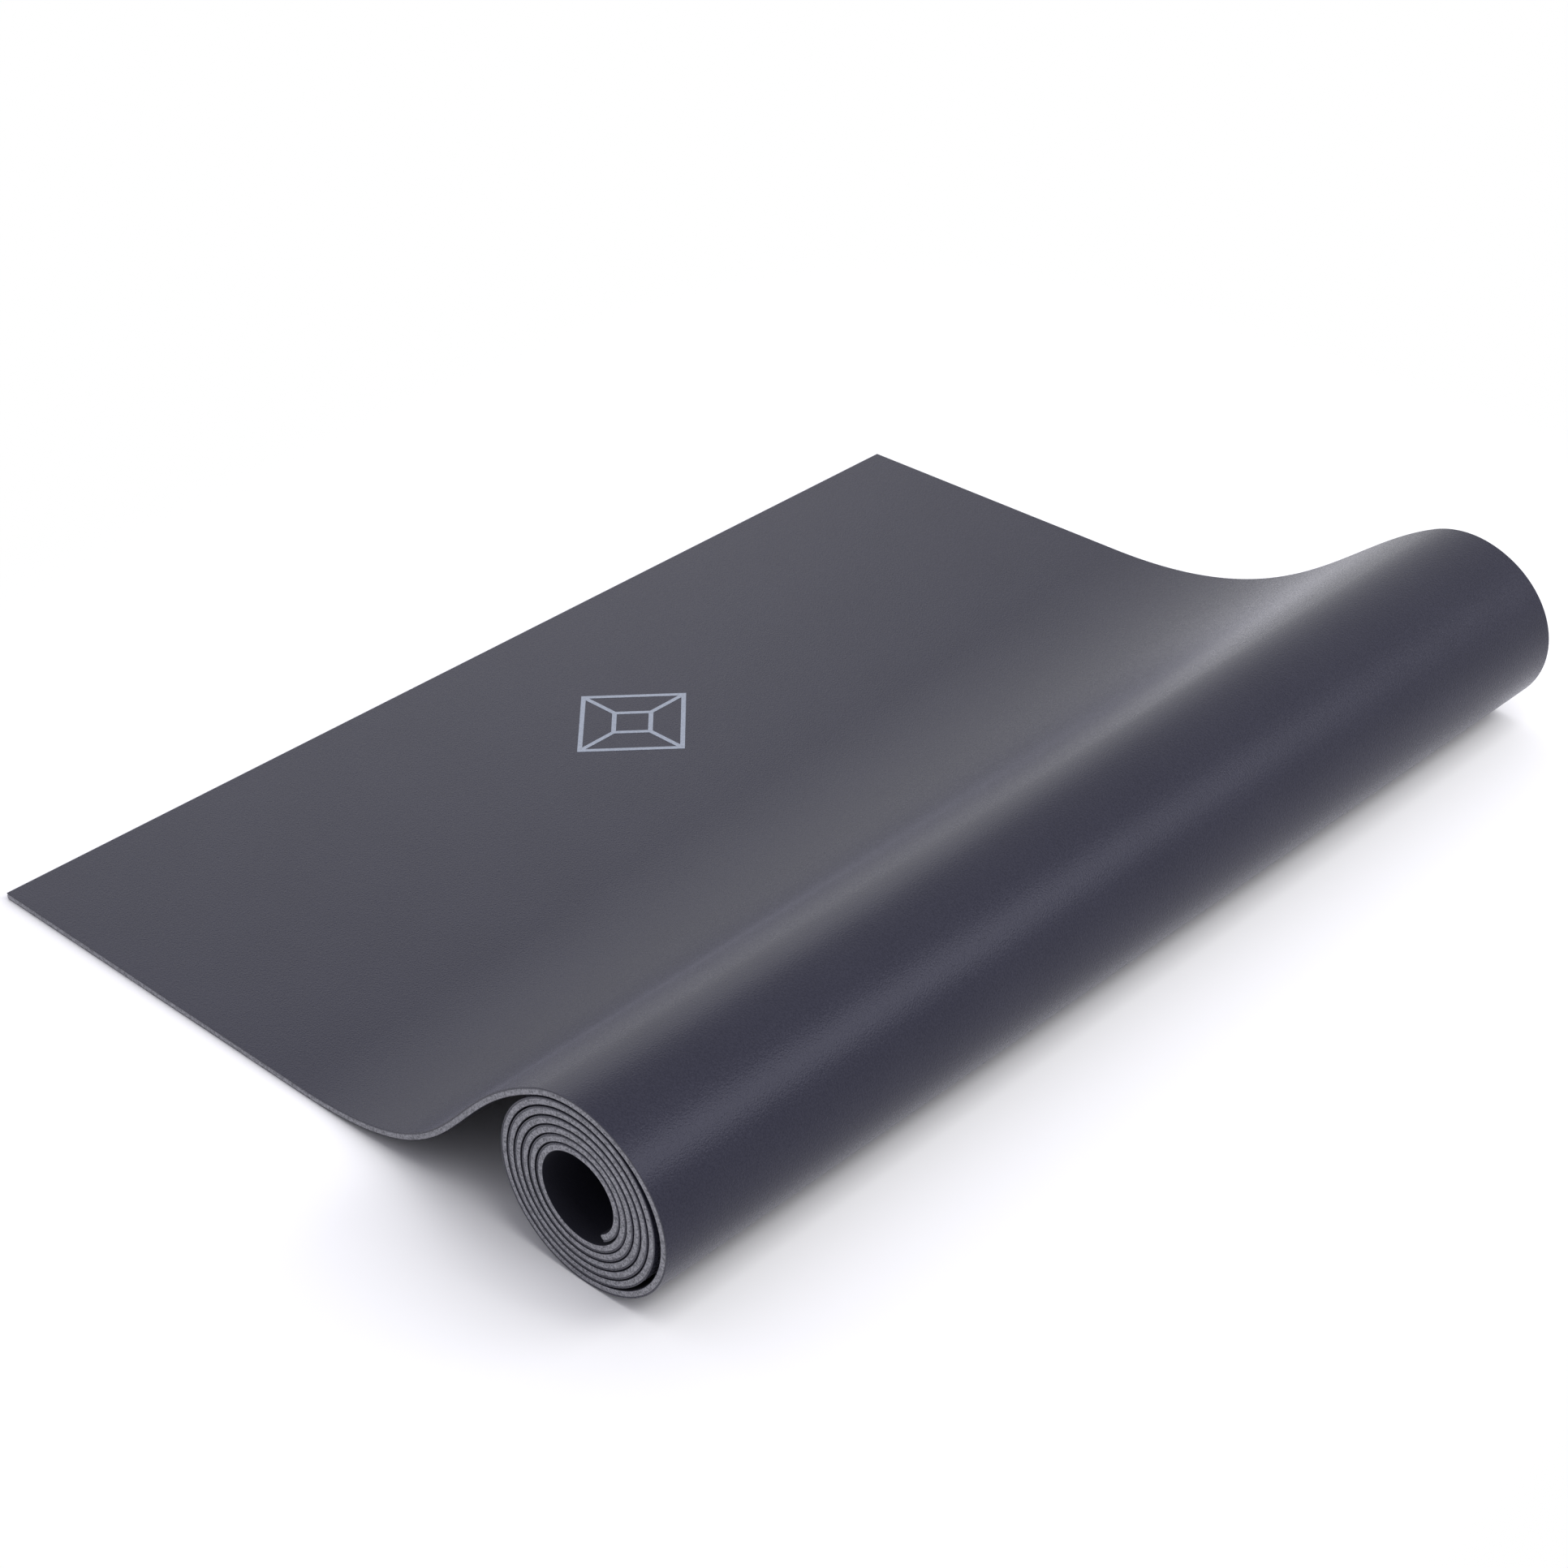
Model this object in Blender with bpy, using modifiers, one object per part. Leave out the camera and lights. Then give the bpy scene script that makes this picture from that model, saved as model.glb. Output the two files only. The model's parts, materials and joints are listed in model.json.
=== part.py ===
# Yoga mat, partly rolled: a rubber foam base with a thin skin bonded over it.
# Lengths are in metres. X runs along the mat from its free end to its roll, Y along the
# roll and Z up, with the origin on the floor below the middle of the whole mat.
import math

import bmesh
import bpy
import numpy as np

# Sheet
MAT_WIDTH = 0.610
BASE_THICKNESS = 0.0029  # rubber foam, underneath
BOND_CLEARANCE = 0.00025  # between the foam and the skin
SKIN_THICKNESS = 0.00055  # facing up, and outwards on the roll

# Roll
HOLLOW_RADIUS = 0.0163  # at the sheet's inner end
TURNS = 6.4167  # from the top of the roll to the inner end
TURN_CLEARANCE = 0.0005  # between one turn and the next
OVAL_RISE = 0.0018  # how much the roll is wider along its long diagonal
OVAL_TILT = math.radians(12.3)  # of that diagonal over the floor
SLACK_RISE = 0.0024  # how far the outer turn stands off at its loosest
SLACK_MIDDLE = math.radians(95)  # past the top of the roll
SLACK_REACH = math.radians(80)  # to either side of that middle
POINTS_PER_TURN = 36

# Slope from the floor up to the roll
FREE_END_TO_ROLL = 0.4055  # to the middle of the roll
NEAR_LIFT_TO_ROLL = 0.1852  # where the sheet leaves the floor at the near end
FAR_LIFT_TO_ROLL = 0.2256  # and at the far end
LEAVING_ANGLE = math.radians(30)  # before the top of the roll
NEAR_HANDLE_SHARES = (0.616, 0.371)  # of the slope's straight length, floor and roll end
FAR_HANDLE_SHARES = (0.563, 0.265)
SLOPE_STEPS = 24
WIDTH_STEPS = 6

# Fold line of the free end
FOLD_TO_FAR_LIFT = 0.018
FOLD_CLEARANCE = 0.0003

# Printed alignment mark
MARK_SIZE = 0.077  # corner to corner
MARK_CENTRE_SIZE = 0.030  # corner to corner of the small diamond
MARK_LINE = 0.0024
MARK_THICKNESS = 0.0001
MARK_CLEARANCE = 0.00005
MARK_PLACE_SHARE = 0.69  # of the flap's length, from the free end

SHEET_THICKNESS = BASE_THICKNESS + BOND_CLEARANCE + SKIN_THICKNESS
TURN_PITCH = SHEET_THICKNESS + TURN_CLEARANCE
FLAP_LENGTH = FREE_END_TO_ROLL - FAR_LIFT_TO_ROLL - FOLD_TO_FAR_LIFT


def outside_radius(turned):
    """Radius of the sheet's outer face, turned radians past the top of the roll."""
    turns_left = TURNS - turned / math.tau
    radius = HOLLOW_RADIUS + SHEET_THICKNESS + turns_left * TURN_PITCH
    heading = math.pi / 2 - turned
    radius += OVAL_RISE * math.cos(heading - OVAL_TILT) ** 2
    off_middle = abs(turned - SLACK_MIDDLE) / SLACK_REACH
    if off_middle < 1:
        radius += SLACK_RISE * math.cos(off_middle * math.pi / 2) ** 2
    return radius


def around_roll(turned, depth):
    """Point at a depth below the sheet's outer face, from the middle of the roll."""
    heading = math.pi / 2 - turned
    radius = outside_radius(turned) - depth
    return np.array((radius * math.cos(heading), radius * math.sin(heading)))


def winding_angles():
    """Angles of the wound sheet's points, which lie on the same rays in every turn."""
    step = math.tau / POINTS_PER_TURN
    last = TURNS * math.tau
    count = int((last + LEAVING_ANGLE) / step)
    angles = [index * step - LEAVING_ANGLE for index in range(count + 1)]
    if last - angles[-1] > step / 2:
        angles.append(last)
    else:
        angles[-1] = last
    return angles


def roll_centre():
    """The roll rests on the floor, so its lowest outer point sets its height."""
    lowest = min(around_roll(angle, 0)[1] for angle in winding_angles())
    return np.array((FREE_END_TO_ROLL, -lowest))


def sheet_line(lift_to_roll, handle_shares):
    """Underside of the sheet in one cross-section, from the fold line to the inner end."""
    centre = roll_centre()
    fold = np.array((FLAP_LENGTH + FOLD_CLEARANCE / 2, 0.0))
    lift = np.array((FREE_END_TO_ROLL - lift_to_roll, 0.0))
    wound = [centre + around_roll(angle, SHEET_THICKNESS) for angle in winding_angles()]
    along = (wound[1] - wound[0]) / np.linalg.norm(wound[1] - wound[0])
    straight = np.linalg.norm(wound[0] - lift)
    controls = (
        lift,
        lift + np.array((straight * handle_shares[0], 0.0)),
        wound[0] - along * straight * handle_shares[1],
        wound[0],
    )
    slope = []
    for step in range(SLOPE_STEPS):
        share = step / SLOPE_STEPS
        weights = [math.comb(3, k) * share**k * (1 - share) ** (3 - k) for k in range(4)]
        slope.append(sum(weight * point for weight, point in zip(weights, controls)))
    return np.array([fold] + slope + wound)


def raised(line, height):
    """The line moved out from the sheet's underside, square to the sheet."""
    runs = np.diff(line, axis=0)
    runs /= np.linalg.norm(runs, axis=1)[:, None]
    before = np.vstack((runs[:1], runs))
    after = np.vstack((runs, runs[-1:]))
    middle = before + after
    middle /= np.linalg.norm(middle, axis=1)[:, None]
    spread = (middle * before).sum(axis=1)
    outwards = np.column_stack((-middle[:, 1], middle[:, 0]))
    return line + outwards * (height / spread)[:, None]


def least_gap(line):
    """Least gap between the turns, from each outer point to the turn wound over it."""
    outer = raised(line, SHEET_THICKNESS)
    clear = math.inf
    for index in range(SLOPE_STEPS + POINTS_PER_TURN + 1, len(line)):
        first = max(0, index - POINTS_PER_TURN - 2)
        starts = line[first : index - POINTS_PER_TURN + 2]
        ends = line[first + 1 : index - POINTS_PER_TURN + 3]
        runs = ends - starts
        shares = ((outer[index] - starts) * runs).sum(axis=1) / (runs**2).sum(axis=1)
        nearest = starts + runs * np.clip(shares, 0, 1)[:, None]
        clear = min(clear, np.linalg.norm(nearest - outer[index], axis=1).min())
    return clear


def developed_length(line):
    """Length of the flattened sheet, along the middle of its thickness."""
    middle = raised(line, SHEET_THICKNESS / 2)
    return FLAP_LENGTH + np.linalg.norm(np.diff(middle, axis=0), axis=1).sum()


def clear_scene():
    for item in list(bpy.data.objects):
        bpy.data.objects.remove(item, do_unlink=True)


def new_collection(name):
    collection = bpy.data.collections.new(name)
    bpy.context.scene.collection.children.link(collection)
    return collection


def finish(name, colour, roughness):
    material = bpy.data.materials.new(name)
    material.use_nodes = True
    shader = material.node_tree.nodes["Principled BSDF"]
    shader.inputs["Base Color"].default_value = (*colour, 1.0)
    shader.inputs["Roughness"].default_value = roughness
    shader.inputs["Metallic"].default_value = 0.0
    return material


def layer(name, sections, thickness, material, collection, parent=None):
    """Grid laid through a row of cross-sections and thickened outwards."""
    mesh = bpy.data.meshes.new(name)
    grid = bmesh.new()
    long_steps = len(sections[0]) - 1
    wide_steps = len(sections) - 1
    bmesh.ops.create_grid(grid, x_segments=long_steps, y_segments=wide_steps, size=1)
    origin = parent.location if parent else (0.0, 0.0, 0.0)
    for vertex in grid.verts:
        along = round((vertex.co.x + 1) / 2 * long_steps)
        across = round((vertex.co.y + 1) / 2 * wide_steps)
        x, z = sections[across][along]
        y = (across / wide_steps - 1 / 2) * MAT_WIDTH
        vertex.co = (x - origin[0], y - origin[1], z - origin[2])
    grid.to_mesh(mesh)
    grid.free()
    mesh.materials.append(material)
    piece = bpy.data.objects.new(name, mesh)
    collection.objects.link(piece)
    piece.parent = parent
    wall = piece.modifiers.new("thickness", "SOLIDIFY")
    wall.thickness = thickness
    wall.offset = 1
    wall.use_even_offset = True
    mesh.shade_smooth()
    return piece


def between(near, far):
    """Cross-sections spaced evenly over the width, the two ends among them."""
    shares = [step / WIDTH_STEPS for step in range(WIDTH_STEPS + 1)]
    return [near * (1 - share) + far * share for share in shares]


def outline(curve, points):
    spline = curve.splines.new("POLY")
    spline.points.add(len(points) - 1)
    for spot, (x, y) in zip(spline.points, points):
        spot.co = (x, y, 0, 1)
    spline.use_cyclic_u = True


def alignment_mark(place, material, collection, hinge):
    """Two diamonds joined by four spokes, as one flat print."""
    curve = bpy.data.curves.new("alignment_mark", "CURVE")
    curve.dimensions = "2D"
    curve.fill_mode = "BOTH"
    curve.extrude = MARK_THICKNESS / 2
    outer = MARK_SIZE / 2
    middle = MARK_CENTRE_SIZE / 2
    corner_line = MARK_LINE * math.sqrt(2)  # a line's width measured at a corner
    half_line = MARK_LINE / 2
    headings = [quarter * math.pi / 2 for quarter in range(4)]
    turned = [(math.cos(angle), math.sin(angle)) for angle in headings]
    outline(curve, [(outer * c, outer * s) for c, s in turned])
    inner_hole = middle - corner_line
    outline(curve, [(inner_hole * c, inner_hole * s) for c, s in turned])
    low = middle - half_line
    high = outer - corner_line - half_line
    window = [(low, half_line), (high, half_line), (half_line, high), (half_line, low)]
    for c, s in turned:
        outline(curve, [(x * c - y * s, x * s + y * c) for x, y in window])
    curve.materials.append(material)
    mark = bpy.data.objects.new("alignment_mark", curve)
    collection.objects.link(mark)
    mark.parent = hinge
    mark.location = [spot - pivot for spot, pivot in zip(place, hinge.location)]
    return mark


def build():
    clear_scene()
    parts = new_collection("yoga_mat")
    foam = finish("rubber_foam", (0.23, 0.23, 0.26), 0.85)
    skin = finish("top_skin", (0.075, 0.082, 0.100), 0.55)
    ink = finish("mark_ink", (0.26, 0.29, 0.35), 0.60)

    near = sheet_line(NEAR_LIFT_TO_ROLL, NEAR_HANDLE_SHARES)
    far = sheet_line(FAR_LIFT_TO_ROLL, FAR_HANDLE_SHARES)
    overall = max(raised(line, SHEET_THICKNESS)[:, 0].max() for line in (near, far))
    to_middle = np.array((-overall / 2, 0.0))  # the free end is at zero until here
    free_end = np.array((0.0, 0.0))
    flap_line = np.array((free_end, (FLAP_LENGTH - FOLD_CLEARANCE / 2, 0.0)))

    hinge = bpy.data.objects.new("fold_line", None)
    hinge.location = (FLAP_LENGTH - overall / 2, 0.0, SHEET_THICKNESS)
    parts.objects.link(hinge)

    heights = {"rubber_base": 0.0, "top_skin": BASE_THICKNESS + BOND_CLEARANCE}
    walls = {"rubber_base": BASE_THICKNESS, "top_skin": SKIN_THICKNESS}
    looks = {"rubber_base": foam, "top_skin": skin}
    for name, height in heights.items():
        roll_sections = between(raised(near, height), raised(far, height))
        roll_sections = [section + to_middle for section in roll_sections]
        layer(name + "_roll", roll_sections, walls[name], looks[name], parts)
        flap_section = raised(flap_line, height) + to_middle
        flap_sections = [flap_section, flap_section]
        layer(name + "_flap", flap_sections, walls[name], looks[name], parts, hinge)

    mark_height = SHEET_THICKNESS + MARK_CLEARANCE + MARK_THICKNESS / 2
    mark_place = (FLAP_LENGTH * MARK_PLACE_SHARE - overall / 2, 0.0, mark_height)
    alignment_mark(mark_place, ink, parts, hinge)

    gap = min(least_gap(near), least_gap(far))
    print(f"least gap between the turns: {gap * 1000:.2f} mm")
    print(f"developed length: {developed_length(near):.3f} m near, {developed_length(far):.3f} m far")
    print(f"fold line: {hinge.location[0]:.5f}, {SHEET_THICKNESS:.5f}; overall {overall:.5f}")


build()
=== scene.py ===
# Yoga mat: dark grained skin over light foam, half unrolled on a white studio floor.
# Metres throughout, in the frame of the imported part: X towards the roll, Y along it, Z up.
import json
import math

import bmesh
import bpy
from mathutils import Matrix, Vector


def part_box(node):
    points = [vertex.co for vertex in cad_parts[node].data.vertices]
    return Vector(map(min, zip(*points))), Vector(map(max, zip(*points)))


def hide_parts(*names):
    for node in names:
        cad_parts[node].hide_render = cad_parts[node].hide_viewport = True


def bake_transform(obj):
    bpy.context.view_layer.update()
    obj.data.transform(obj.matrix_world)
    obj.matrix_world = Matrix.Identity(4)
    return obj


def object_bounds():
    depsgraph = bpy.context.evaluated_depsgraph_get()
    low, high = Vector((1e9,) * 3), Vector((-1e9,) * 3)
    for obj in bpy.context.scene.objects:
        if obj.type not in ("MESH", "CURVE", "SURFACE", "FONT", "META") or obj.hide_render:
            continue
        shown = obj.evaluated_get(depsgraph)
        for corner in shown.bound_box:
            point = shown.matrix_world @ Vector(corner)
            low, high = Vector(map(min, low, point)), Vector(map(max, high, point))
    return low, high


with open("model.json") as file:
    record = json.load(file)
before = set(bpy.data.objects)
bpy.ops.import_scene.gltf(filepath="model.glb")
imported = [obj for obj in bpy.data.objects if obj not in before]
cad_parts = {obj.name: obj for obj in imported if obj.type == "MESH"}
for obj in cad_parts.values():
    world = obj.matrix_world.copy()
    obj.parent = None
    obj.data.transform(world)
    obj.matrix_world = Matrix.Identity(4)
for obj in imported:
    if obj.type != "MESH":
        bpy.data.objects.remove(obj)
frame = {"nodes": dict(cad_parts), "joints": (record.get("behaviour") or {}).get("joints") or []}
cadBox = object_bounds()
print("frame loaded:", len(frame["nodes"]), "nodes")

mm = 0.001

# The sheet's own sizes and the way it is rolled.
sheet = {
    "width": 610 * mm,
    "length": 1750 * mm,
    "foam": 2.75 * mm,
    "skin": 0.8 * mm,
    "bond": 0.004 * mm,  # between the foam and the skin
    "edgeRound": 0.22 * mm,  # the cut edges are a little soft
    "edgeCurve": 4.0,  # the higher, the closer to the corner the rounding stays
    "stagger": 0.3 * mm,  # how far the turns' side edges wander
    "staggerWaves": 9.0,  # for each metre of sheet
    "acrossPoints": 26,
    "upPoints": 4,
}
roll = {
    "hollow": 16.4 * mm,  # radius at the sheet's inner end, if the turns lay evenly
    "turns": 6.39,
    "pitch": 4.2 * mm,
    "innerWall": 3.7 * mm,  # thickness of the solids' sheet, from which the roll is measured
    "ovalRise": 1.8 * mm,
    "ovalTilt": math.radians(12.3),
    "slackRise": 2.4 * mm,  # the outer turn stands off on this side
    "slackMiddle": math.radians(95),
    "slackReach": math.radians(80),
    "loosen": 1.12 * mm,  # the inner turns crowd outwards by up to this much
    "sag": {"rise": 1.24 * mm, "heading": math.radians(257), "reach": math.radians(120)},
    "hang": {"rise": 2.37 * mm, "heading": math.radians(206), "reach": math.radians(103)},
    "tipDrop": 1.0 * mm,  # the last stretch springs away from the turn around it
    "tipReach": math.radians(60),
    "toFreeEnd": 405.5 * mm,
    "leavingAngle": math.radians(30),
    "pointsPerTurn": 108,
}
slopes = {
    "near": {"lift": 185.2 * mm, "handles": (0.616, 0.371)},
    "far": {"lift": 225.6 * mm, "handles": (0.563, 0.265)},
    "steps": 72,
}
flap = {
    "joint": frame["joints"][0],
    "bend": 158 * mm,  # length of sheet that curls on the real mat as its free end lifts
    "steps": 64,
}


def bulge(shape, heading):
    away = (heading - shape["heading"] + math.pi) % math.tau - math.pi
    if abs(away) > shape["reach"]:
        return 0.0
    return shape["rise"] * math.cos(away / shape["reach"] * math.pi / 2) ** 2


def outerRadius(turned):
    left = roll["turns"] - turned / math.tau
    radius = roll["hollow"] + roll["innerWall"] + left * roll["pitch"]
    heading = math.pi / 2 - turned
    radius += roll["ovalRise"] * math.cos(heading - roll["ovalTilt"]) ** 2
    offMiddle = abs(turned - roll["slackMiddle"]) / roll["slackReach"]
    if offMiddle < 1:
        radius += roll["slackRise"] * math.cos(offMiddle * math.pi / 2) ** 2
    # Inner turns settle towards the floor, and the innermost hang away from the ones around them.
    inward = min(1.0, max(0.0, 1 - left / roll["turns"]))
    radius += roll["loosen"] * inward**3
    radius += bulge(roll["sag"], heading) * (1 - (1 - inward) ** 4)
    radius -= bulge(roll["hang"], heading) * inward**4
    toTip = (roll["turns"] * math.tau - turned) / roll["tipReach"]
    if toTip < 1:
        radius -= roll["tipDrop"] * (1 - toTip) ** 2
    return radius


def aroundRoll(turned, depth):
    heading = math.pi / 2 - turned
    radius = outerRadius(turned) - depth
    return Vector((radius * math.cos(heading), 0, radius * math.sin(heading)))


def guidePoints(slope):
    # Underside of the sheet in one cross-section: flat, up the slope, then round the roll.
    thickness = sheet["foam"] + sheet["skin"]
    step = math.tau / roll["pointsPerTurn"]
    count = round((roll["turns"] * math.tau + roll["leavingAngle"]) / step)
    angles = [index * step - roll["leavingAngle"] for index in range(count + 1)]
    lowest = min(aroundRoll(angle, 0).z for angle in angles)
    freeEnd = cadBox[0][0]
    centre = Vector((freeEnd + roll["toFreeEnd"], 0, -lowest))
    wound = [centre + aroundRoll(angle, thickness) for angle in angles]
    lift = Vector((centre.x - slope["lift"], 0, 0))
    straight = (wound[0] - lift).length
    along = (wound[1] - wound[0]).normalized()
    first, last = slope["handles"]
    controls = (
        lift,
        lift + Vector((straight * first, 0, 0)),
        wound[0] - along * straight * last,
        wound[0],
    )
    flat = [
        Vector((freeEnd + (lift.x - freeEnd) * index / flap["steps"], 0, 0))
        for index in range(flap["steps"])
    ]
    rise = []
    for index in range(slopes["steps"]):
        share = index / slopes["steps"]
        point = Vector()
        for k, control in enumerate(controls):
            point += control * math.comb(3, k) * share**k * (1 - share) ** (3 - k)
        rise.append(point)
    return flat + rise + wound


def guideCurve(name, points):
    curve = bpy.data.curves.new(name, "CURVE")
    curve.dimensions = "3D"
    spline = curve.splines.new("POLY")
    spline.points.add(len(points) - 1)
    for spot, point in zip(spline.points, points):
        spot.co = (*point, 1)
    guide = bpy.data.objects.new(name, curve)
    bpy.context.scene.collection.objects.link(guide)
    return guide


class Tree:
    # A small helper that adds and joins nodes.
    def __init__(self, tree):
        self.tree = tree

    def add(self, kind, values=None, **settings):
        node = self.tree.nodes.new(kind)
        for key, value in settings.items():
            setattr(node, key, value)
        for key, value in (values or {}).items():
            self.feed(value, node.inputs[key])
        return node

    def feed(self, value, socket):
        if isinstance(value, bpy.types.NodeSocket):
            self.tree.links.new(value, socket)
        else:
            socket.default_value = value

    def math(self, operation, first, second=0.0):
        node = self.add("ShaderNodeMath", {0: first, 1: second}, operation=operation)
        return node.outputs[0]

    def vector(self, operation, first, second=(0.0, 0.0, 0.0)):
        node = self.add("ShaderNodeVectorMath", {0: first, 1: second}, operation=operation)
        return node.outputs[0]

    def mix(self, kind, share, first, second):
        # A Mix node has a set of sockets for each kind of value.
        low, high, out = {"FLOAT": (2, 3, 0), "VECTOR": (4, 5, 1), "RGBA": (6, 7, 2)}[kind]
        node = self.add("ShaderNodeMix", data_type=kind)
        self.feed(share, node.inputs["Factor"])
        self.feed(first, node.inputs[low])
        self.feed(second, node.inputs[high])
        return node.outputs[out]


def buildSheetTree():
    # Lays a closed slab along two guides, one for each end of the roll.
    group = bpy.data.node_groups.new("sheetAlongGuides", "GeometryNodeTree")
    face = group.interface
    face.new_socket("Geometry", in_out="OUTPUT", socket_type="NodeSocketGeometry")
    for name, kind in (
        ("Near guide", "NodeSocketObject"),
        ("Far guide", "NodeSocketObject"),
        ("Points along", "NodeSocketInt"),
        ("Points across", "NodeSocketInt"),
        ("Points up", "NodeSocketInt"),
        ("Width", "NodeSocketFloat"),
        ("Underside", "NodeSocketFloat"),
        ("Thickness", "NodeSocketFloat"),
        ("Edge round", "NodeSocketFloat"),
        ("Edge curve", "NodeSocketFloat"),
        ("Stagger", "NodeSocketFloat"),
        ("Stagger waves", "NodeSocketFloat"),
        ("Material", "NodeSocketMaterial"),
    ):
        face.new_socket(name, in_out="INPUT", socket_type=kind)
    t = Tree(group)
    given = group.nodes.new("NodeGroupInput").outputs
    slab = t.add(
        "GeometryNodeMeshCube",
        {
            "Size": (1, 1, 1),
            "Vertices X": given["Points along"],
            "Vertices Y": given["Points across"],
            "Vertices Z": given["Points up"],
        },
    )
    place = t.add("GeometryNodeInputPosition").outputs[0]
    spot = t.add("ShaderNodeSeparateXYZ", {0: place}).outputs
    alongShare = t.math("ADD", spot[0], 0.5)
    acrossShare = t.math("ADD", spot[1], 0.5)
    upShare = t.math("ADD", spot[2], 0.5)
    lastPoint = t.math("SUBTRACT", given["Points along"], 1.0)
    index = t.math("ROUND", t.math("MULTIPLY", alongShare, lastPoint))

    def onGuide(guide, shift, field=place, kind="FLOAT_VECTOR"):
        info = t.add("GeometryNodeObjectInfo", {"Object": given[guide]})
        sample = t.add("GeometryNodeSampleIndex", data_type=kind, domain="POINT", clamp=True)
        t.feed(info.outputs["Geometry"], sample.inputs["Geometry"])
        t.feed(field, sample.inputs["Value"])
        t.feed(t.math("ADD", index, shift), sample.inputs["Index"])
        return sample.outputs["Value"]

    def betweenEnds(shift):
        return t.mix("VECTOR", acrossShare, onGuide("Near guide", shift), onGuide("Far guide", shift))

    here = betweenEnds(0)
    before = betweenEnds(-1)
    after = betweenEnds(1)
    run = t.vector("NORMALIZE", t.vector("SUBTRACT", after, before))
    runParts = t.add("ShaderNodeSeparateXYZ", {0: run}).outputs
    out = t.add(
        "ShaderNodeCombineXYZ",
        {0: t.math("MULTIPLY", runParts[2], -1.0), 1: 0.0, 2: runParts[0]},
    ).outputs[0]

    # Top and bottom edges are drawn in a little, all round.
    offMiddle = t.math("ABSOLUTE", t.math("SUBTRACT", t.math("MULTIPLY", upShare, 2.0), 1.0))
    inset = t.math("MULTIPLY", t.math("POWER", offMiddle, given["Edge curve"]), given["Edge round"])
    # A hair over 2, so that only the points at the sheet's two ends come to -1 and 1.
    endSide = t.math("TRUNC", t.math("MULTIPLY", spot[0], 2.00001))
    endShift = t.vector("SCALE", run)
    t.feed(
        t.math("MULTIPLY", t.math("MULTIPLY", endSide, inset), -1.0),
        endShift.node.inputs["Scale"],
    )
    height = t.math("MULTIPLY_ADD", upShare, given["Thickness"])
    t.feed(given["Underside"], height.node.inputs[2])
    raised = t.vector("SCALE", out)
    t.feed(height, raised.node.inputs["Scale"])

    # How far along the sheet each point lies.
    length = t.add("GeometryNodeSplineParameter").outputs["Length"]
    nearArc = onGuide("Near guide", 0, length, "FLOAT")
    farArc = onGuide("Far guide", 0, length, "FLOAT")
    arc = t.mix("FLOAT", acrossShare, nearArc, farArc)
    wander = t.add(
        "ShaderNodeTexNoise",
        {"W": arc, "Scale": given["Stagger waves"], "Detail": 1.0},
        noise_dimensions="1D",
    ).outputs[0]
    stagger = t.math("MULTIPLY", t.math("SUBTRACT", wander, 0.5), given["Stagger"])
    narrowed = t.math("SUBTRACT", given["Width"], t.math("MULTIPLY", inset, 2.0))
    across = t.math("ADD", t.math("MULTIPLY", spot[1], narrowed), stagger)
    sideways = t.add("ShaderNodeCombineXYZ", {0: 0.0, 1: across, 2: 0.0}).outputs[0]
    position = t.vector("ADD", t.vector("ADD", here, raised), t.vector("ADD", sideways, endShift))

    moved = t.add("GeometryNodeSetPosition", {"Geometry": slab.outputs["Mesh"]})
    flatPlace = t.add("ShaderNodeCombineXYZ", {0: arc, 1: across, 2: height}).outputs[0]
    # The place on the flat sheet is kept before the slab is bent, for the grain to follow.
    kept = t.add(
        "GeometryNodeStoreNamedAttribute",
        {"Geometry": slab.outputs["Mesh"], "Name": "onSheet", "Value": flatPlace},
        data_type="FLOAT_VECTOR",
        domain="POINT",
    )
    t.feed(kept.outputs["Geometry"], moved.inputs["Geometry"])
    t.feed(position, moved.inputs["Position"])
    real = t.add("GeometryNodeRealizeInstances", {"Geometry": moved.outputs["Geometry"]})
    dressed = t.add(
        "GeometryNodeSetMaterial",
        {"Geometry": real.outputs["Geometry"], "Material": given["Material"]},
    )
    result = group.nodes.new("NodeGroupOutput")
    t.feed(dressed.outputs["Geometry"], result.inputs["Geometry"])
    return group


def plainMesh(name, group, values):
    # Runs the tree with these inputs and keeps the result as an ordinary mesh.
    holder = bpy.data.objects.new(name + "Maker", bpy.data.meshes.new(name + "Maker"))
    bpy.context.scene.collection.objects.link(holder)
    maker = holder.modifiers.new("maker", "NODES")
    maker.node_group = group
    ids = {
        item.name: item.identifier
        for item in group.interface.items_tree
        if item.item_type == "SOCKET" and item.in_out == "INPUT"
    }
    for key, value in values.items():
        maker[ids[key]] = value
    bpy.context.view_layer.update()
    graph = bpy.context.evaluated_depsgraph_get()
    mesh = bpy.data.meshes.new_from_object(holder.evaluated_get(graph))
    mesh.name = name
    holder.modifiers.remove(maker)
    bpy.data.objects.remove(holder)
    piece = bpy.data.objects.new(name, mesh)
    bpy.context.scene.collection.objects.link(piece)
    mesh.shade_smooth()
    mesh.set_sharp_from_angle(angle=math.radians(50))
    return piece


def newMaterial(name):
    material = bpy.data.materials.new(name)
    material.use_nodes = True
    t = Tree(material.node_tree)
    shader = material.node_tree.nodes["Principled BSDF"]
    return material, t, shader


def ramp(t, value, ends, colours):
    node = t.add("ShaderNodeValToRGB", {0: value})
    for element, position, colour in zip(node.color_ramp.elements, ends, colours):
        element.position = position
        element.color = (*colour, 1)
    return node.outputs["Color"]


def relieve(t, shader, height, look):
    # Fine relief, too small for the mesh.
    bump = t.add("ShaderNodeBump", {"Height": height, "Strength": look["bumpStrength"]})
    bump.inputs["Distance"].default_value = look["bumpDepth"]
    t.feed(bump.outputs[0], shader.inputs["Normal"])


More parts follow.
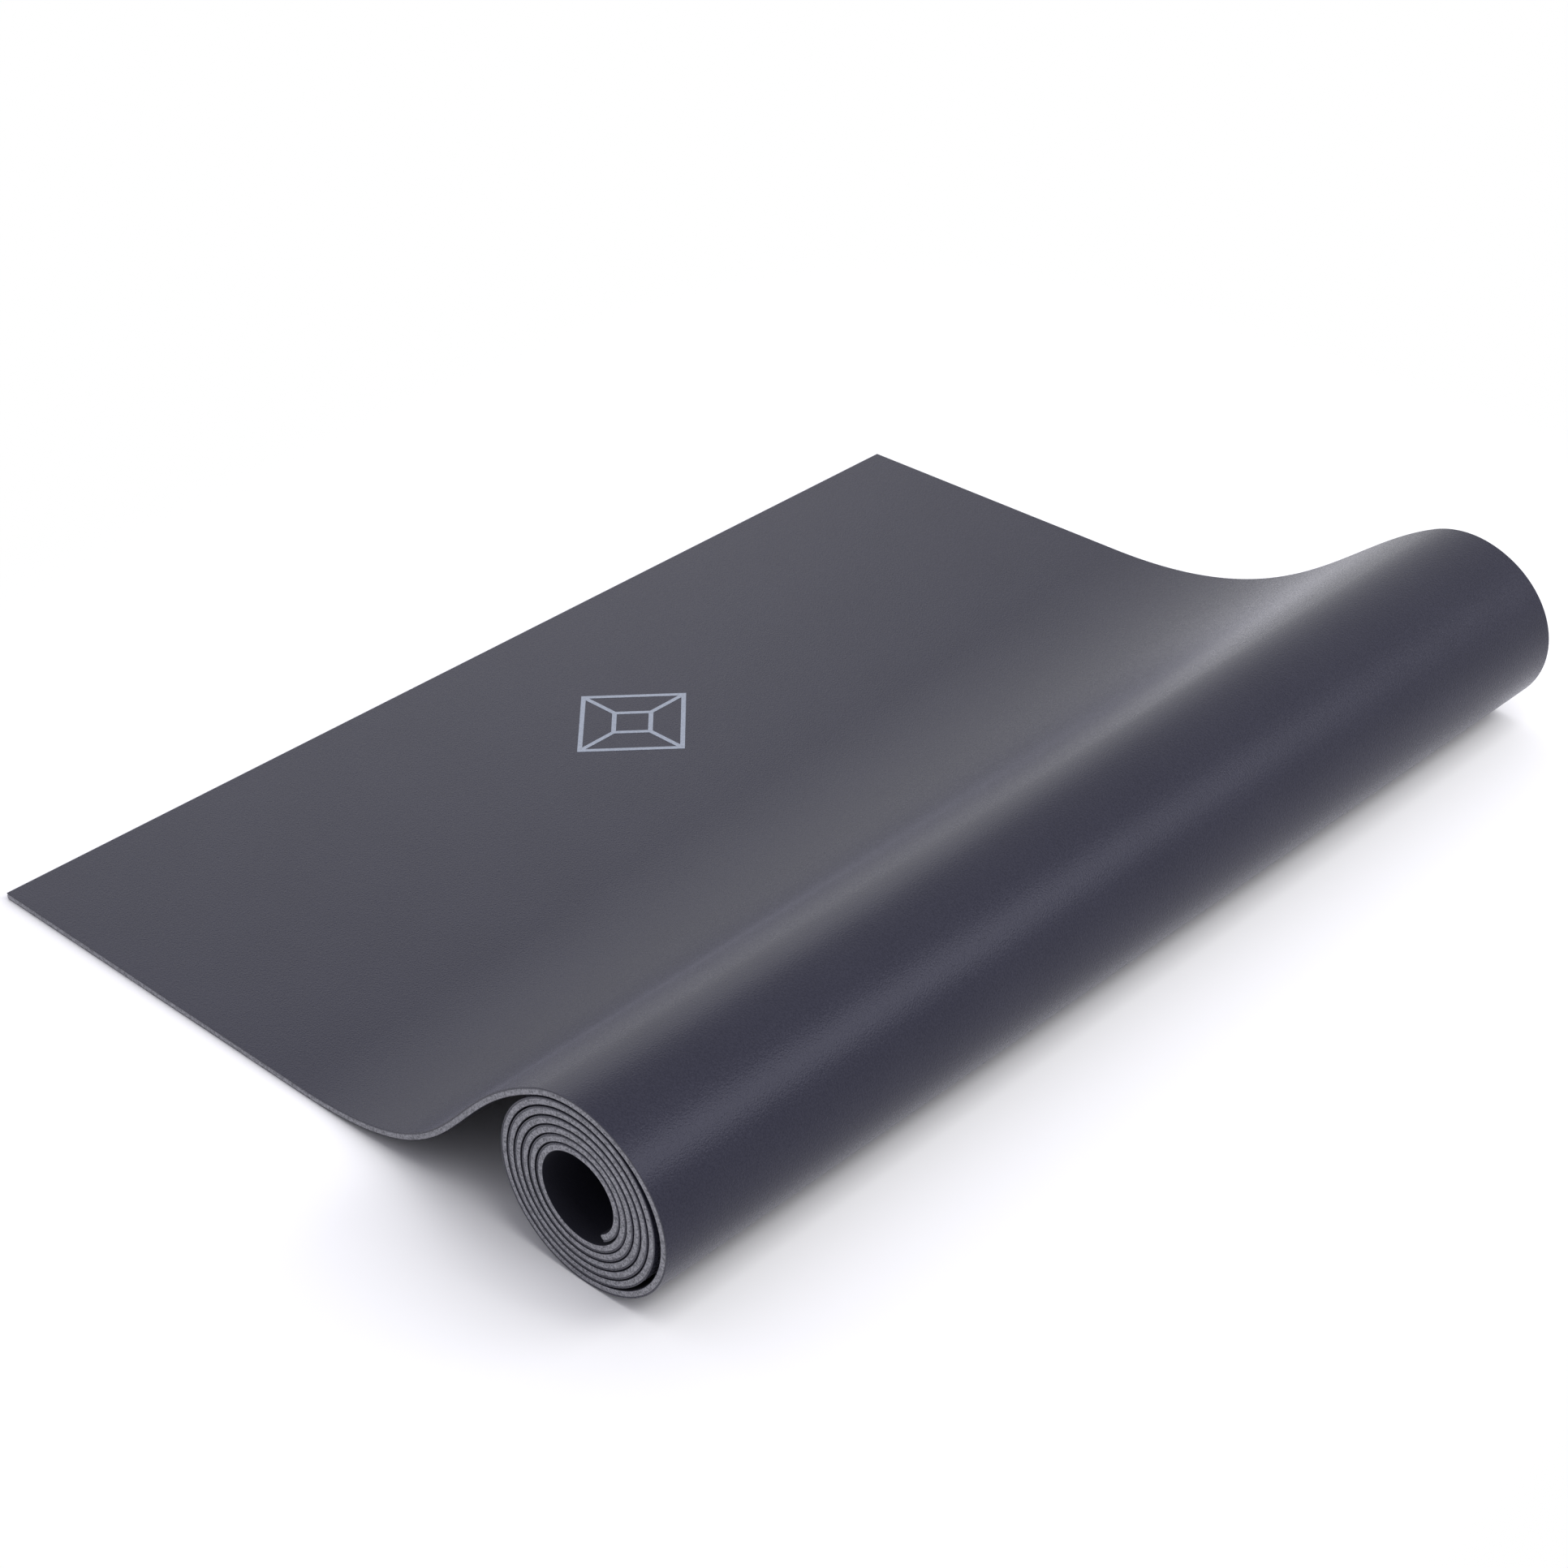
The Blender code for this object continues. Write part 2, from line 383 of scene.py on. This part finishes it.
skinLook = {
    "dark": (0.0192, 0.0192, 0.0306),
    "light": (0.0258, 0.0258, 0.0392),
    "contrast": (0.38, 0.62),  # the narrower, the more the two colours part
    "cut": (0.058, 0.058, 0.070),  # its cut edge along both sides
    "cutFacing": 0.7,  # how squarely a face looks sideways, from which it counts as cut
    "roughness": 0.28,
    "smoother": 0.06,  # by how much the roughness falls and rises with the grain
    "rougher": 0.08,
    "grainRange": (0.3, 0.7),
    "specular": 0.18,
    "tint": (0.82, 0.82, 1.0),  # of its reflections
    "sheen": 0.10,  # of the grain, seen at a low angle
    "sheenRoughness": 0.35,
    "grainScale": 1700.0,
    "fineScale": 0.7,  # of the grain's own scale
    "fineDetail": 3.0,
    "fineShare": 0.8,
    "fineRelief": 1.1,
    "patchScale": 22.0,
    "patchDetail": 5.0,
    "patchShare": 0.2,
    "bumpStrength": 0.6,
    "bumpDepth": 0.145 * mm,
}


def skinMaterial():
    material, t, shader = newMaterial("grainedSkin")
    where = t.add("ShaderNodeAttribute", attribute_name="onSheet").outputs["Vector"]
    grain = {"Vector": where, "Scale": skinLook["grainScale"]}
    cells = t.add("ShaderNodeTexVoronoi", grain, feature="SMOOTH_F1").outputs["Distance"]
    fineScale = skinLook["grainScale"] * skinLook["fineScale"]
    fine = t.add(
        "ShaderNodeTexNoise",
        {"Vector": where, "Scale": fineScale, "Detail": skinLook["fineDetail"]},
    ).outputs[0]
    patches = t.add(
        "ShaderNodeTexNoise",
        {"Vector": where, "Scale": skinLook["patchScale"], "Detail": skinLook["patchDetail"]},
    ).outputs[0]
    patchPart = t.math("MULTIPLY", patches, skinLook["patchShare"])
    finePart = t.math("MULTIPLY", fine, skinLook["fineShare"])
    share = t.math("ADD", patchPart, finePart)
    colour = ramp(t, share, skinLook["contrast"], (skinLook["dark"], skinLook["light"]))
    faced = t.add("ShaderNodeNewGeometry").outputs["True Normal"]
    sideways = t.math("ABSOLUTE", t.add("ShaderNodeSeparateXYZ", {0: faced}).outputs[1])
    isCut = t.math("GREATER_THAN", sideways, skinLook["cutFacing"])
    t.feed(t.mix("RGBA", isCut, colour, (*skinLook["cut"], 1)), shader.inputs["Base Color"])
    lowest, highest = skinLook["grainRange"]
    rough = t.add("ShaderNodeMapRange", {"Value": fine, "From Min": lowest, "From Max": highest})
    rough.inputs["To Min"].default_value = skinLook["roughness"] - skinLook["smoother"]
    rough.inputs["To Max"].default_value = skinLook["roughness"] + skinLook["rougher"]
    t.feed(rough.outputs[0], shader.inputs["Roughness"])
    relief = t.math("ADD", cells, t.math("MULTIPLY", fine, skinLook["fineRelief"]))
    relieve(t, shader, relief, skinLook)
    shader.inputs["Specular IOR Level"].default_value = skinLook["specular"]
    shader.inputs["Specular Tint"].default_value = (*skinLook["tint"], 1)
    shader.inputs["Sheen Weight"].default_value = skinLook["sheen"]
    shader.inputs["Sheen Roughness"].default_value = skinLook["sheenRoughness"]
    shader.inputs["Sheen Tint"].default_value = (*skinLook["tint"], 1)
    return material


foamLook = {
    "dark": (0.11, 0.11, 0.121),
    "light": (0.34, 0.34, 0.365),
    "back": (0.008, 0.008, 0.015),  # the underside is smooth and dark, and painted darker still as shade for the tunnel under the slope and the gaps between the turns
    "backAndShadeDepth": 0.32 * mm,
    "contrast": (0.38, 0.72),
    "roughness": 0.85,
    "specular": 0.25,
    "cellScale": 1400.0,
    "cellShare": 0.35,
    "speckScale": 0.8,  # of the cells' own scale
    "speckDetail": 3.0,
    "speckShare": 0.8,
    "bumpStrength": 0.7,
    "bumpDepth": 0.25 * mm,
}


def foamMaterial():
    material, t, shader = newMaterial("rubberFoam")
    where = t.add("ShaderNodeAttribute", attribute_name="onSheet").outputs["Vector"]
    height = t.add("ShaderNodeSeparateXYZ", {0: where}).outputs[2]
    grain = {"Vector": where, "Scale": foamLook["cellScale"]}
    cells = t.add("ShaderNodeTexVoronoi", grain).outputs["Distance"]
    speckScale = foamLook["cellScale"] * foamLook["speckScale"]
    specks = t.add(
        "ShaderNodeTexNoise",
        {"Vector": where, "Scale": speckScale, "Detail": foamLook["speckDetail"]},
    ).outputs[0]
    cellPart = t.math("MULTIPLY", cells, foamLook["cellShare"])
    speckPart = t.math("MULTIPLY", specks, foamLook["speckShare"])
    mixed = t.math("ADD", cellPart, speckPart)
    colour = ramp(t, mixed, foamLook["contrast"], (foamLook["dark"], foamLook["light"]))
    # Below this depth the foam takes the dark back colour: partly the underside's own colour, partly
    # painted shade.
    inside = t.math("GREATER_THAN", height, foamLook["backAndShadeDepth"])
    t.feed(t.mix("RGBA", inside, (*foamLook["back"], 1), colour), shader.inputs["Base Color"])
    shader.inputs["Roughness"].default_value = foamLook["roughness"]
    shader.inputs["Specular IOR Level"].default_value = foamLook["specular"]
    relieve(t, shader, mixed, foamLook)
    return material


mark = {
    "size": 77 * mm,  # corner to corner
    "centreSize": 30 * mm,
    "line": 2.4 * mm,
    "thickness": 0.08 * mm,
    "clearance": 0.02 * mm,
    "cut": 4 * mm,  # longest stretch of a line between cuts, so that it can bend
    "merge": 0.001 * mm,  # points closer than this become one
    "colour": (0.27, 0.30, 0.36),
    "wornShade": 0.82,  # of the colour, where the print is worn
    "wearScale": 900.0,
    "wearDetail": 3.0,
    "contrast": (0.35, 0.6),
    "roughness": 0.55,
    "bumpStrength": 0.4,
    "bumpDepth": 0.05 * mm,
}


def inkMaterial():
    material, t, shader = newMaterial("paleInk")
    where = t.add("ShaderNodeTexCoord").outputs["Object"]
    wear = t.add(
        "ShaderNodeTexNoise",
        {"Vector": where, "Scale": mark["wearScale"], "Detail": mark["wearDetail"]},
    ).outputs[0]
    worn = tuple(value * mark["wornShade"] for value in mark["colour"])
    t.feed(ramp(t, wear, mark["contrast"], (worn, mark["colour"])), shader.inputs["Base Color"])
    shader.inputs["Roughness"].default_value = mark["roughness"]
    relieve(t, shader, wear, mark)
    return material


def outline(curve, points):
    spline = curve.splines.new("POLY")
    spline.points.add(len(points) - 1)
    for spot, (x, y) in zip(spline.points, points):
        spot.co = (x, y, 0, 1)
    spline.use_cyclic_u = True


def printedMark(material):
    # Two diamonds joined by four spokes, printed flat near the free end.
    low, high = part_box("alignment_mark")
    middle = (low + high) / 2
    curve = bpy.data.curves.new("printedMark", "CURVE")
    curve.dimensions = "2D"
    curve.fill_mode = "BOTH"
    curve.extrude = mark["thickness"] / 2
    outer = mark["size"] / 2
    centre = mark["centreSize"] / 2
    cornerLine = mark["line"] * math.sqrt(2)
    half = mark["line"] / 2
    turned = [(math.cos(k * math.pi / 2), math.sin(k * math.pi / 2)) for k in range(4)]
    outline(curve, [(outer * c, outer * s) for c, s in turned])
    outline(curve, [((centre - cornerLine) * c, (centre - cornerLine) * s) for c, s in turned])
    near = centre - half
    far = outer - cornerLine - half
    window = [(near, half), (far, half), (half, far), (half, near)]
    for c, s in turned:
        outline(curve, [(x * c - y * s, x * s + y * c) for x, y in window])
    flat = bpy.data.objects.new("flatMark", curve)
    bpy.context.scene.collection.objects.link(flat)
    graph = bpy.context.evaluated_depsgraph_get()
    mesh = bpy.data.meshes.new_from_object(flat.evaluated_get(graph))
    bpy.data.objects.remove(flat)
    height = sheet["foam"] + sheet["skin"] + mark["clearance"] + mark["thickness"] / 2
    mesh.transform(Matrix.Translation((middle.x, middle.y, height)))
    shape = bmesh.new()
    shape.from_mesh(mesh)
    bmesh.ops.remove_doubles(shape, verts=shape.verts, dist=mark["merge"])
    cuts = int(mark["size"] / mark["cut"])
    for k in range(1, cuts):
        at = middle.x - outer + mark["size"] * k / cuts
        everything = shape.verts[:] + shape.edges[:] + shape.faces[:]
        bmesh.ops.bisect_plane(shape, geom=everything, plane_co=(at, 0, 0), plane_no=(1, 0, 0))
    bmesh.ops.recalc_face_normals(shape, faces=shape.faces)
    shape.to_mesh(mesh)
    shape.free()
    mesh.materials.clear()
    mesh.materials.append(material)
    piece = bpy.data.objects.new("printedMark", mesh)
    bpy.context.scene.collection.objects.link(piece)
    return piece


sheetTree = buildSheetTree()
nearPoints = guidePoints(slopes["near"])
guides = {
    "near": guideCurve("nearGuide", nearPoints),
    "far": guideCurve("farGuide", guidePoints(slopes["far"])),
}
print("guides:", len(nearPoints), "points each")

layers = {
    "foamBase": {
        "underside": 0.0,
        "thickness": sheet["foam"],
        "material": foamMaterial(),
        "nodes": ("rubber_base_roll", "rubber_base_flap"),
        "slot": "rubber_foam",
    },
    "grainedTop": {
        "underside": sheet["foam"] + sheet["bond"],
        "thickness": sheet["skin"],
        "material": skinMaterial(),
        "nodes": ("top_skin_roll", "top_skin_flap"),
        "slot": "top_skin",
    },
}
pieces = []
for name, layer in layers.items():
    values = {
        "Near guide": guides["near"],
        "Far guide": guides["far"],
        "Points along": len(nearPoints),
        "Points across": sheet["acrossPoints"],
        "Points up": sheet["upPoints"],
        "Width": sheet["width"],
        "Underside": layer["underside"],
        "Thickness": layer["thickness"],
        "Edge round": min(sheet["edgeRound"], layer["thickness"] / 4),
        "Edge curve": sheet["edgeCurve"],
        "Stagger": sheet["stagger"],
        "Stagger waves": sheet["staggerWaves"],
        "Material": layer["material"],
    }
    piece = plainMesh(name, sheetTree, values)
    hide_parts(*layer["nodes"])
    pieces.append(piece)
    print(name + ":", len(piece.data.polygons), "faces")
for guide in guides.values():
    bpy.data.objects.remove(guide)

markPiece = printedMark(inkMaterial())
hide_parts("alignment_mark")
pieces.append(markPiece)
print("printed mark:", len(markPiece.data.polygons), "faces")

for piece in pieces:
    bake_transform(piece)

studio = {
    "eye": (0.92723, -0.92382, 0.85214),
    "forward": (-0.59920817, 0.59231329, -0.53862282),
    "up": (-0.35711794, 0.40438734, 0.84198435),
    "lens": 73.06,
    "sensor": 36.0,
    # Soft light from all round: darker on the camera's side, brighter behind on the left.
    "ambientDark": (0.155, 0.155, 0.185),
    "ambientLight": (0.87, 0.87, 0.97),
    "brightSide": (-0.60, 0.55, 0.58),
}
# Each softbox has its width along the roll, and brightness is what a mirror would show.
softboxes = {
    "overheadKey": {"place": (1.9, -0.1, 3.9), "aim": (0, 0, 0), "size": (2.4, 2.4), "bright": 4.4},
    "rightStrip": {"place": (1.65, 1.1, 1.57), "aim": (0.2, 1.1, 0), "size": (1.7, 1.1), "bright": 3.9},
    "leftPanel": {"place": (-2.0, 1.0, 1.4), "aim": (0, 0, 0), "size": (1.8, 1.2), "bright": 0.9},
}


def addCamera():
    camera = bpy.data.objects.new("studioCamera", bpy.data.cameras.new("studioCamera"))
    bpy.context.scene.collection.objects.link(camera)
    back = -Vector(studio["forward"]).normalized()
    side = Vector(studio["up"]).cross(back).normalized()
    upward = back.cross(side)
    turn = Matrix((side, upward, back)).transposed().to_4x4()
    camera.matrix_world = Matrix.Translation(studio["eye"]) @ turn
    camera.data.lens = studio["lens"]
    camera.data.sensor_width = studio["sensor"]
    camera.data.sensor_fit = "HORIZONTAL"
    bpy.context.scene.camera = camera


def addSoftbox(name, box):
    lamp = bpy.data.lights.new(name, "AREA")
    lamp.shape = "RECTANGLE"
    lamp.size, lamp.size_y = box["size"]
    lamp.energy = box["bright"] * math.pi * lamp.size * lamp.size_y
    holder = bpy.data.objects.new(name, lamp)
    bpy.context.scene.collection.objects.link(holder)
    holder.location = box["place"]
    beam = Vector(box["aim"]) - holder.location
    holder.rotation_euler = beam.to_track_quat("-Z", "Y").to_euler()


def seenDirectly(t):
    # The rays that show the plain white studio, in the picture and in reflections.
    path = t.add("ShaderNodeLightPath").outputs
    through = t.math("MAXIMUM", path["Is Glossy Ray"], path["Is Transmission Ray"])
    return t.math("MAXIMUM", path["Is Camera Ray"], through)


def addWorld():
    world = bpy.data.worlds.new("paleStudio")
    bpy.context.scene.world = world
    world.use_nodes = True
    t = Tree(world.node_tree)
    background = world.node_tree.nodes["Background"]
    direction = t.add("ShaderNodeTexCoord").outputs["Generated"]
    facing = t.add("ShaderNodeVectorMath", {0: direction}, operation="DOT_PRODUCT")
    facing.inputs[1].default_value = studio["brightSide"]
    share = t.math("ADD", t.math("MULTIPLY", facing.outputs["Value"], 0.5), 0.5)
    around = ramp(t, share, (0.0, 1.0), (studio["ambientDark"], studio["ambientLight"]))
    shown = t.mix("RGBA", seenDirectly(t), around, (1, 1, 1, 1))
    t.feed(shown, background.inputs["Color"])
    background.inputs["Strength"].default_value = 1.0


floor = {
    "size": 30.0,
    "drop": 0.2 * mm,  # below the mat, so that the two never share a face
    "colour": (0.90, 0.895, 0.888),
    "roughness": 0.9,
    "shadowKept": 0.03,  # distance round the mat in which the floor is only lit
    "plainWhite": 0.30,  # distance from which it is plain white
}


def addFloor():
    bpy.ops.mesh.primitive_plane_add(size=floor["size"], location=(0, 0, -floor["drop"]))
    ground = bpy.context.object
    ground.name = "studioFloor"
    material, t, shader = newMaterial("whiteFloor")
    shader.inputs["Base Color"].default_value = (*floor["colour"], 1)
    shader.inputs["Roughness"].default_value = floor["roughness"]
    shader.inputs["Specular IOR Level"].default_value = 0.0
    where = t.add("ShaderNodeTexCoord").outputs["Object"]
    half = tuple((high - low) / 2 for low, high in zip(cadBox[0][:2], cadBox[1][:2]))
    beyond = t.vector("SUBTRACT", t.vector("ABSOLUTE", where), (*half, 1))
    beyond = t.vector("MAXIMUM", beyond, (0, 0, 0))
    away = t.add("ShaderNodeVectorMath", {0: beyond}, operation="LENGTH").outputs["Value"]
    fade = t.add("ShaderNodeMapRange", {"Value": away}, interpolation_type="SMOOTHSTEP")
    fade.inputs["From Min"].default_value = floor["shadowKept"]
    fade.inputs["From Max"].default_value = floor["plainWhite"]
    white = t.add("ShaderNodeEmission", {"Color": (1, 1, 1, 1), "Strength": 1.0})
    mix = t.add("ShaderNodeMixShader")
    t.feed(t.math("MULTIPLY", fade.outputs[0], seenDirectly(t)), mix.inputs[0])
    t.feed(shader.outputs[0], mix.inputs[1])
    t.feed(white.outputs[0], mix.inputs[2])
    t.feed(mix.outputs[0], material.node_tree.nodes["Material Output"].inputs["Surface"])
    ground.data.materials.append(material)


addCamera()
addWorld()
addFloor()
for name, box in softboxes.items():
    addSoftbox(name, box)
bpy.context.scene.view_settings.view_transform = "Standard"
print("studio ready")
